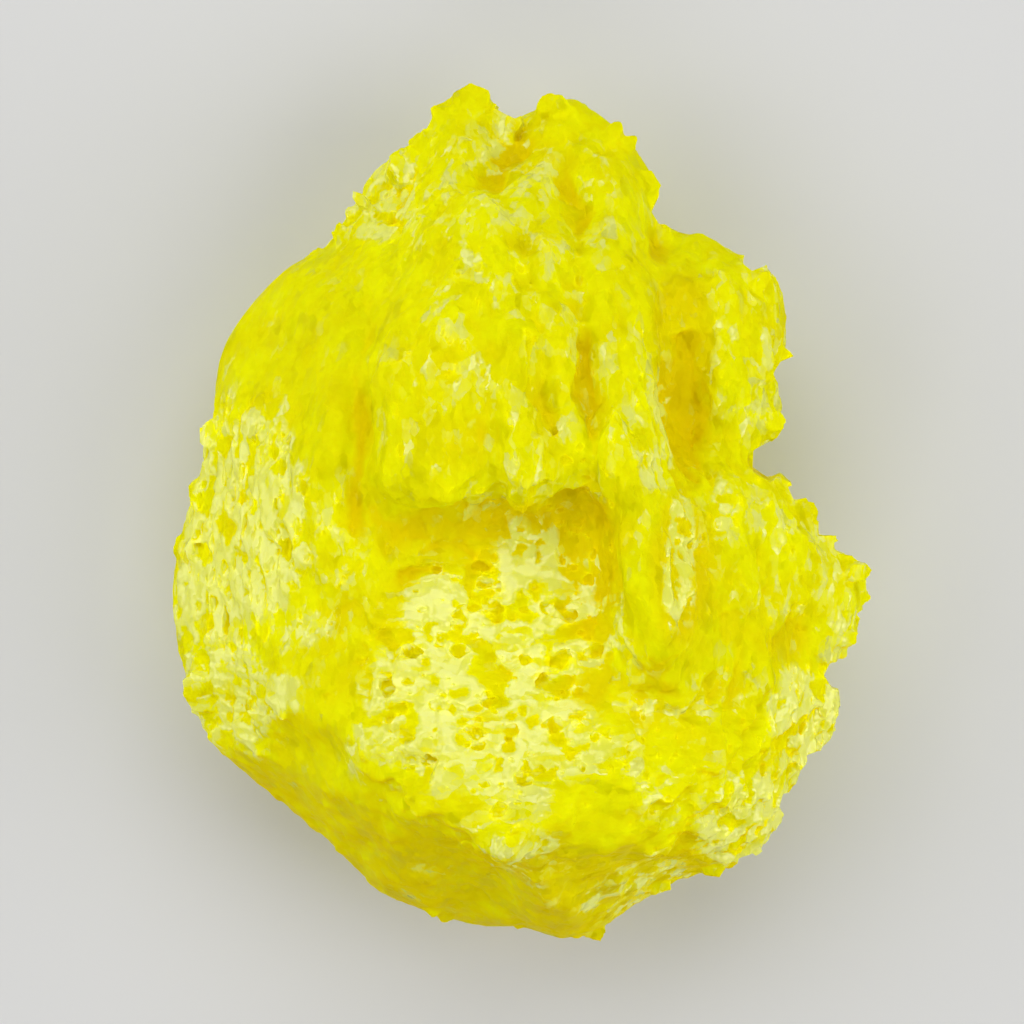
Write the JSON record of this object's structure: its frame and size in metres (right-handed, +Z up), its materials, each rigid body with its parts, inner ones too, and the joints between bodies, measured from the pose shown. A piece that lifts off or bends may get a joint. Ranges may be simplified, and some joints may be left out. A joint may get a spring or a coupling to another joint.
{
  "type": "native sulfur crystal specimen",
  "caption": "Hand-sized lump of bright yellow native sulfur, grown as one mass of fluted, pitted crystals, lying on the flat break on its back.",
  "frame": {"origin": "middle of the footprint box, on the surface that the specimen lies on", "axes": "+Z up, out of the grown front; +Y towards the crown with its peaks; +X towards the finned edge"},
  "size_m": [0.1076, 0.1324, 0.06],
  "materials": {
    "sulfur": "bright lemon-yellow sulfur, waxy and slightly translucent, glassy on its pitted faces and matte on its smooth shoulder, golden in the hollows"
  },
  "bodies": {
    "root": {"sulfur_mass": "sulfur"}
  },
  "joints": []
}
